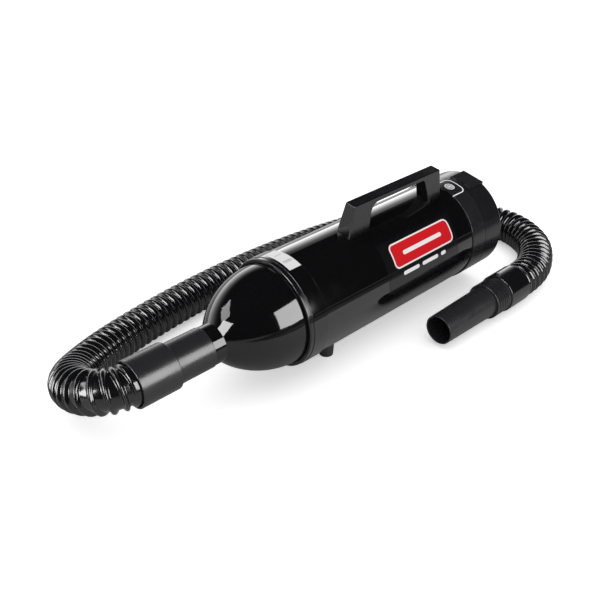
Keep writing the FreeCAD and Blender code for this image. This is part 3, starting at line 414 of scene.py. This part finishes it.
def use_surface(tree, shader, colour, roughness, grain, relief, marks, dust):
    """Wire the shared surface detail into a material's shader."""
    detail = add(tree, "Group", node_tree=SURFACE)
    detail.inputs["Grain"].default_value = grain
    detail.inputs["Relief"].default_value = relief
    detail.inputs["Roughness"].default_value = roughness
    detail.inputs["Marks"].default_value = marks
    detail.inputs["Dust"].default_value = dust
    tinted = blend_colours(tree, detail.outputs["Dust"], colour, DUST_COLOUR)
    tree.links.new(tinted, shader.inputs["Base Color"])
    tree.links.new(detail.outputs["Roughness"], shader.inputs["Roughness"])
    tree.links.new(detail.outputs["Normal"], shader.inputs["Normal"])
    return detail


def simple(name, colour, roughness, grain=900.0, relief=0.05, marks=0.08, dust=0.1,
           metallic=0.0, coat=0.0):
    """A material of one base colour with the shared surface detail."""
    material, tree, shader = new_material(name)
    use_surface(tree, shader, (*colour, 1.0), roughness, grain, relief, marks, dust)
    shader.inputs["Metallic"].default_value = metallic
    shader.inputs["Coat Weight"].default_value = coat
    shader.inputs["Coat Roughness"].default_value = COAT_ROUGHNESS
    return material


def box_distance(tree, wrap, middle, half, corner):
    """Distance from a rounded box on the body's skin."""
    box = add(tree, "Group", node_tree=BOX)
    tree.links.new(wrap.outputs["Along"], box.inputs["Along"])
    tree.links.new(wrap.outputs["Round"], box.inputs["Round"])
    box.inputs["Middle"].default_value = (*middle, 0.0)
    box.inputs["Half"].default_value = (*half, 0.0)
    box.inputs["Corner"].default_value = corner
    return box.outputs["Distance"]


INK_SOFTNESS = 0.12


def ink(tree, distance, edge=0.0):
    """A mask that is 1 where the distance is under an edge."""
    return span(tree, distance, edge - INK_SOFTNESS, edge + INK_SOFTNESS, 1.0, 0.0)


def stroke(tree, distance, width):
    """A mask for a line of a width along the zero of a distance."""
    return ink(tree, sums(tree, "ABSOLUTE", distance), width / 2)


BLACK = (0.006, 0.006, 0.007, 1.0)
BLACK_SATIN = (0.014, 0.014, 0.016, 1.0)
WHITE_INK = (0.80, 0.80, 0.80, 1.0)
PAPER_WHITE = (0.64, 0.64, 0.64, 1.0)
RED_INK = (0.62, 0.010, 0.016, 1.0)
GREY_INK = (0.16, 0.15, 0.16, 1.0)


# Places on the body are (distance along it, distance round it from the top), in mm.
LABEL_RADIUS = 57.3
PLATE_MIDDLE = (70.0, 54.6)
PLATE_HALF = (47.5, 13.6)
PLATE_CORNER = 6.5
PLATE_EDGE = 1.7
STRIPE_HALF = (31.0, 2.2)
STRIPE_CORNER = 2.1
BAR_ROUND = 75.2
BAR_HALF_HEIGHT = 2.1
BAR_CORNER = 2.0
BARS = ((45.0, 12.5), (75.5, 13.0), (97.5, 4.0))  # middle and half length


def label_material():
    """Black film with a plain red plate in a white edge, and three white bars under it."""
    material, tree, shader = new_material("label_film")
    wrap = add(tree, "Group", node_tree=WRAP)
    wrap.inputs["Radius"].default_value = LABEL_RADIUS
    plate = box_distance(tree, wrap, PLATE_MIDDLE, PLATE_HALF, PLATE_CORNER)
    colour = blend_colours(tree, ink(tree, plate), BLACK, WHITE_INK)
    colour = blend_colours(tree, ink(tree, plate, -PLATE_EDGE), colour, RED_INK)
    stripe = box_distance(tree, wrap, PLATE_MIDDLE, STRIPE_HALF, STRIPE_CORNER)
    colour = blend_colours(tree, ink(tree, stripe), colour, WHITE_INK)
    for middle, half in BARS:
        bar = box_distance(
            tree, wrap, (middle, BAR_ROUND), (half, BAR_HALF_HEIGHT), BAR_CORNER)
        colour = blend_colours(tree, ink(tree, bar), colour, WHITE_INK)
    use_surface(tree, shader, NO_COLOUR,
                roughness=0.12, grain=500.0, relief=0.02, marks=0.05, dust=0.0)
    tree.links.new(colour, shader.inputs["Base Color"])
    return material


STICKER_RADIUS = 58.35
RULE_ALONG = -88.0
RULE_HALF_WIDTH = 0.35
RULE_CORNER = 0.3
RULES = ((9.0, 5.2), (7.0, 5.2), (-6.0, 4.0))  # distance round and half length


def sticker_material():
    """White paper with a few printed rules."""
    material, tree, shader = new_material("white_sticker")
    wrap = add(tree, "Group", node_tree=WRAP)
    wrap.inputs["Radius"].default_value = STICKER_RADIUS
    colour = PAPER_WHITE
    for place, half in RULES:
        rule = box_distance(
            tree, wrap, (RULE_ALONG, place), (half, RULE_HALF_WIDTH), RULE_CORNER)
        colour = blend_colours(tree, ink(tree, rule), colour, GREY_INK)
    use_surface(tree, shader, NO_COLOUR,
                roughness=0.55, grain=1500.0, relief=0.05, marks=0.05, dust=0.0)
    tree.links.new(colour, shader.inputs["Base Color"])
    return material


CONTROLS_TURN = math.radians(10.0)
COLLAR_RADIUS = 58.2
CONTROLS_ROUND = CONTROLS_TURN * COLLAR_RADIUS
OUTLINE_ALONG = 155.0
OUTLINE_HALF = (16.6, 13.6)
OUTLINE_CORNER = 6.0
OUTLINE_WIDTH = 1.3


def collar_material():
    """Satin black with the white outline that frames the button."""
    material, tree, shader = new_material("collar_satin")
    wrap = add(tree, "Group", node_tree=WRAP)
    wrap.inputs["Radius"].default_value = COLLAR_RADIUS
    outline = box_distance(
        tree, wrap, (OUTLINE_ALONG, CONTROLS_ROUND), OUTLINE_HALF, OUTLINE_CORNER)
    colour = blend_colours(tree, stroke(tree, outline, OUTLINE_WIDTH), BLACK_SATIN, WHITE_INK)
    use_surface(tree, shader, NO_COLOUR,
                roughness=0.20, grain=1400.0, relief=0.08, marks=0.06, dust=0.03)
    tree.links.new(colour, shader.inputs["Base Color"])
    return material


BUTTON_ALONG = 159.2
DISC_RADIUS = 5.7
GROOVE_RADIUS = 4.1
GROOVE_WIDTH = 1.1
SIGN_RADIUS = 2.1
SIGN_WIDTH = 1.0
SIGN_GAP = 0.9
SIGN_BAR_HALF_WIDTH = 0.3
SIGN_BAR_HALF_LENGTH = 1.5
SIGN_BAR_OFFSET = 1.7


def ring(tree, reach, radius, width):
    """A mask for a ring of a radius and a line width."""
    return stroke(tree, sums(tree, "SUBTRACT", reach, radius), width)


def button_material():
    """A pale disc with a dark ring and the usual on-off sign."""
    material, tree, shader = new_material("button_face")
    wrap = add(tree, "Group", node_tree=WRAP)
    wrap.inputs["Radius"].default_value = COLLAR_RADIUS
    along = sums(tree, "SUBTRACT", wrap.outputs["Along"], BUTTON_ALONG)
    across = sums(tree, "SUBTRACT", wrap.outputs["Round"], CONTROLS_ROUND)
    squares = [sums(tree, "MULTIPLY", offset, offset) for offset in (along, across)]
    reach = sums(tree, "SQRT", sums(tree, "ADD", squares[0], squares[1]))
    width = sums(tree, "ABSOLUTE", across)
    disc = ink(tree, reach, DISC_RADIUS)
    groove = ring(tree, reach, GROOVE_RADIUS, GROOVE_WIDTH)
    gap = ink(tree, sums(tree, "MAXIMUM", width, along), SIGN_GAP)
    sign_ring = ring(tree, reach, SIGN_RADIUS, SIGN_WIDTH)
    sign = sums(tree, "MULTIPLY", sign_ring, sums(tree, "SUBTRACT", 1.0, gap))
    length = sums(tree, "ABSOLUTE", sums(tree, "ADD", along, SIGN_BAR_OFFSET))
    bar_across = sums(tree, "SUBTRACT", width, SIGN_BAR_HALF_WIDTH)
    bar_along = sums(tree, "SUBTRACT", length, SIGN_BAR_HALF_LENGTH)
    bar = ink(tree, sums(tree, "MAXIMUM", bar_across, bar_along))
    dark = sums(tree, "MAXIMUM", sums(tree, "MAXIMUM", groove, sign), bar)
    marks = sums(tree, "MULTIPLY", disc, sums(tree, "SUBTRACT", 1.0, dark))
    colour = blend_colours(tree, marks, BLACK_SATIN, WHITE_INK)
    use_surface(tree, shader, NO_COLOUR,
                roughness=0.30, grain=1400.0, relief=0.06, marks=0.05, dust=0.0)
    tree.links.new(colour, shader.inputs["Base Color"])
    return material


# ---------------------------------------------------------------- materials of the CAD nodes
gloss_paint = simple(
    "tube_enamel", (0.004, 0.004, 0.0045),
    roughness=0.06, grain=260.0, relief=0.012, marks=0.03, dust=0.01, coat=0.6)
gloss_black = simple(
    "gloss_black", (0.004, 0.004, 0.0045),
    roughness=0.06, grain=300.0, relief=0.010, marks=0.03, dust=0.01, coat=0.5)
dome_gloss = simple(
    "dome_gloss", (0.004, 0.004, 0.0045),
    roughness=0.05, grain=300.0, relief=0.008, marks=0.03, dust=0.01)
lip_black = simple(
    "lip_black", (0.006, 0.006, 0.007),
    roughness=0.14, grain=700.0, relief=0.03, marks=0.06, dust=0.02, coat=0.3)
satin_black = simple(
    "satin_black", (0.010, 0.010, 0.012),
    roughness=0.20, grain=1400.0, relief=0.08, marks=0.06, dust=0.03)
cuff_black = simple(
    "cuff_black", (0.016, 0.016, 0.018),
    roughness=0.27, grain=1200.0, relief=0.08, marks=0.06, dust=0.01)
handle_black = simple(
    "handle_black", (0.006, 0.006, 0.007),
    roughness=0.16, grain=1600.0, relief=0.08, marks=0.06, dust=0.01, coat=0.3)
hose_black = simple(
    "hose_black", (0.005, 0.005, 0.006),
    roughness=0.15, grain=500.0, relief=0.03, marks=0.06, dust=0.005, coat=0.3)
rubber_black = simple(
    "rubber_black", (0.018, 0.018, 0.018),
    roughness=0.55, grain=1800.0, relief=0.20, marks=0.10, dust=0.20)
steel = simple(
    "bare_steel", (0.50, 0.50, 0.52),
    roughness=0.28, grain=2200.0, relief=0.08, marks=0.12, dust=0.0, metallic=1.0)
screw_black = simple(
    "screw_black", (0.03, 0.03, 0.03),
    roughness=0.25, grain=1200.0, relief=0.06, marks=0.10, dust=0.0, metallic=0.6)
bag_cloth = simple(
    "bag_cloth", (0.62, 0.58, 0.50),
    roughness=0.90, grain=1500.0, relief=0.9, marks=0.05, dust=0.3)
fan_grey = simple(
    "fan_grey", (0.22, 0.23, 0.24),
    roughness=0.40, grain=1200.0, relief=0.12, marks=0.10, dust=0.2)
core_steel = simple(
    "core_steel", (0.16, 0.15, 0.15),
    roughness=0.40, grain=2600.0, relief=0.30, marks=0.10, dust=0.0, metallic=0.8)
copper = simple(
    "copper", (0.72, 0.36, 0.20),
    roughness=0.25, grain=1600.0, relief=0.08, marks=0.15, dust=0.0, metallic=1.0)
magnet_grey = simple(
    "magnet_grey", (0.06, 0.06, 0.065),
    roughness=0.60, grain=1700.0, relief=0.30, marks=0.05, dust=0.0)
carbon = simple(
    "carbon", (0.03, 0.03, 0.03),
    roughness=0.50, grain=2400.0, relief=0.30, marks=0.05, dust=0.0)
board_green = simple(
    "board_green", (0.01, 0.12, 0.04),
    roughness=0.30, grain=1500.0, relief=0.06, marks=0.05, dust=0.0)
cell_wrap = simple(
    "cell_wrap", (0.03, 0.12, 0.36),
    roughness=0.28, grain=900.0, relief=0.05, marks=0.05, dust=0.0)
pale_plastic = simple(
    "pale_plastic", (0.45, 0.45, 0.43),
    roughness=0.40, grain=1200.0, relief=0.10, marks=0.05, dust=0.0)

FINISHES = {
    "tube_paint": gloss_paint,
    "gloss_black": gloss_black,
    "satin_black": satin_black,
    "handle_black": handle_black,
    "hose_black": hose_black,
    "rubber_black": rubber_black,
    "white_print": sticker_material(),
    "label_print": label_material(),
    "steel": steel,
    "zinc_black": screw_black,
    "bag_cloth": bag_cloth,
    "fan_grey": fan_grey,
    "winding": core_steel,
    "copper": copper,
    "magnet_grey": magnet_grey,
    "carbon": carbon,
    "board_green": board_green,
    "cell_wrap": cell_wrap,
    "pale_plastic": pale_plastic,
}
OWN_FINISHES = {
    "rear_collar": collar_material(),
    "power_button": button_material(),
    "nose_dome": dome_gloss,
    "nose_lip": lip_black,
    "hose_cuff": cuff_black,
    "far_cuff": lip_black,
    "far_collar": cuff_black,
    "nozzle": cuff_black,
}


def finish_nodes():
    """Give every CAD node the material of its slot, or its own."""
    slots = {part["node"]: part["material_slot"] for part in frame["record"]["subparts"]}
    for name, node in frame["nodes"].items():
        material = OWN_FINISHES.get(name, FINISHES[slots[name]])
        for slot in node.material_slots:
            slot.material = material


finish_nodes()

hose.data.materials.append(hose_black)
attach(hose, "base")
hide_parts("hose")

# ---------------------------------------------------------------- floor and light


def stage_plane(name, corners, material):
    """A flat sheet of the studio."""
    mesh = bpy.data.meshes.new(name)
    mesh.from_pydata(corners, [], [(0, 1, 2, 3)])
    mesh.materials.append(material)
    plane = bpy.data.objects.new(name, mesh)
    bpy.context.collection.objects.link(plane)
    return plane


FLOOR_WHITE = (0.88, 0.88, 0.88, 1.0)
# Painted shade: the grey that reflections see the floor in, darker than the white the camera
# sees.
FLOOR_SHADE_IN_SHINE = (0.50, 0.50, 0.50, 1.0)
FLOOR_GLOW = 0.52
FLOOR_HALF = 6.0
CARD_X = (-0.5, 2.5)
CARD_Y = (-2.5, -0.40)
CARD_HEIGHT = 0.001


def flat_corners(low, high, height):
    """The four corners of a level rectangle."""
    return [(low[0], low[1], height), (high[0], low[1], height),
            (high[0], high[1], height), (low[0], high[1], height)]


def make_floor():
    """A wide pale floor, painted a darker grey where reflections see it, with a glow only the
    camera sees, and a dark card only shine sees.
    """
    paper, tree, shader = new_material("floor_paper")
    rays = add(tree, "LightPath")
    # Painted shade: glossy rays see the floor in a darker grey than the camera does.
    tone = blend_colours(tree, rays.outputs["Is Glossy Ray"], FLOOR_WHITE, FLOOR_SHADE_IN_SHINE)
    use_surface(tree, shader, FLOOR_WHITE,
                roughness=0.8, grain=300.0, relief=0.02, marks=0.05, dust=0.0)
    tree.links.new(tone, shader.inputs["Base Color"])
    glow = sums(tree, "MULTIPLY", rays.outputs["Is Camera Ray"], FLOOR_GLOW)
    shader.inputs["Emission Color"].default_value = FLOOR_WHITE
    tree.links.new(glow, shader.inputs["Emission Strength"])
    stage_plane("floor", flat_corners((-FLOOR_HALF,) * 2, (FLOOR_HALF,) * 2, 0.0), paper)
    felt = simple("dark_card", (0.004, 0.004, 0.004), roughness=0.9, dust=0.0)
    corners = flat_corners((CARD_X[0], CARD_Y[0]), (CARD_X[1], CARD_Y[1]), CARD_HEIGHT)
    card = stage_plane("card", corners, felt)
    card.visible_camera = False
    card.visible_diffuse = False
    card.visible_shadow = False
    card.visible_transmission = False


def make_light(name, place, target, size, power, only):
    """A rectangular soft box that faces a target and gives only light or only shine."""
    data = bpy.data.lights.new(name, "AREA")
    data.shape = "RECTANGLE"
    data.size = size[0]
    data.size_y = size[1]
    data.energy = power
    lamp = bpy.data.objects.new(name, data)
    bpy.context.collection.objects.link(lamp)
    lamp.location = place
    lamp.rotation_euler = (Vector(target) - Vector(place)).to_track_quat("-Z", "Y").to_euler()
    lamp.visible_glossy = only == "shine"
    lamp.visible_diffuse = only == "light"


SWEEP_GLOW = 2.9
FILL_GLOW = 0.80
SEEN_GLOW = 1.10
SWEEP_AIM = (0.35, 0.94)  # the way the sweep lies, as seen from above
SWEEP_SIDES = (0.05, 0.45)
SWEEP_RISE = (0.02, 0.56)
SWEEP_FADE = 1.3


def make_world():
    """White to the eye, even for shading, and a white sweep that fades upward in reflections."""
    world = bpy.data.worlds.new("studio")
    world.use_nodes = True
    tree = world.node_tree
    ground = tree.nodes["Background"]
    aim = add(tree, "SeparateXYZ")
    feed(tree, aim.inputs[0], add(tree, "TexCoord").outputs["Generated"])
    sideways = sums(tree, "ADD", sums(tree, "MULTIPLY", aim.outputs["X"], SWEEP_AIM[0]),
                    sums(tree, "MULTIPLY", aim.outputs["Y"], SWEEP_AIM[1]))
    behind = span(tree, sideways, *SWEEP_SIDES, 0.0, 1.0)
    low = sums(tree, "POWER", span(tree, aim.outputs["Z"], *SWEEP_RISE, 1.0, 0.0), SWEEP_FADE)
    sweep = sums(tree, "MULTIPLY", sums(tree, "MULTIPLY", behind, low), SWEEP_GLOW)
    rays = add(tree, "LightPath")
    shine = sums(tree, "MULTIPLY", rays.outputs["Is Glossy Ray"], sweep)
    fill = sums(tree, "MULTIPLY", rays.outputs["Is Diffuse Ray"], FILL_GLOW)
    seen = sums(tree, "MULTIPLY", rays.outputs["Is Camera Ray"], SEEN_GLOW)
    strength = sums(tree, "ADD", sums(tree, "ADD", shine, fill), seen)
    tree.links.new(strength, ground.inputs["Strength"])
    ground.inputs["Color"].default_value = (1.0, 1.0, 1.0, 1.0)
    bpy.context.scene.world = world


LIGHTS = (
    # name, place, target, size, power, only
    ("overhead", (0.0, 0.1, 2.6), (0.0, 0.1, 0.0), (4.0, 4.0), 40.0, "light"),
    ("near_box", (0.18, -0.95, 0.475), (0.0, 0.0, 0.10), (0.72, 0.73), 18.0, "shine"),
    ("left_box", (-1.5, 0.10, 0.70), (0.0, 0.0, 0.10), (0.75, 0.85), 30.0, "shine"),
    ("left_top", (-1.3, 1.0, 1.5), (0.0, 0.0, 0.05), (1.3, 0.5), 12.0, "shine"),
)

make_floor()
for light in LIGHTS:
    make_light(*light)
make_world()
bpy.context.scene.view_settings.view_transform = "Standard"
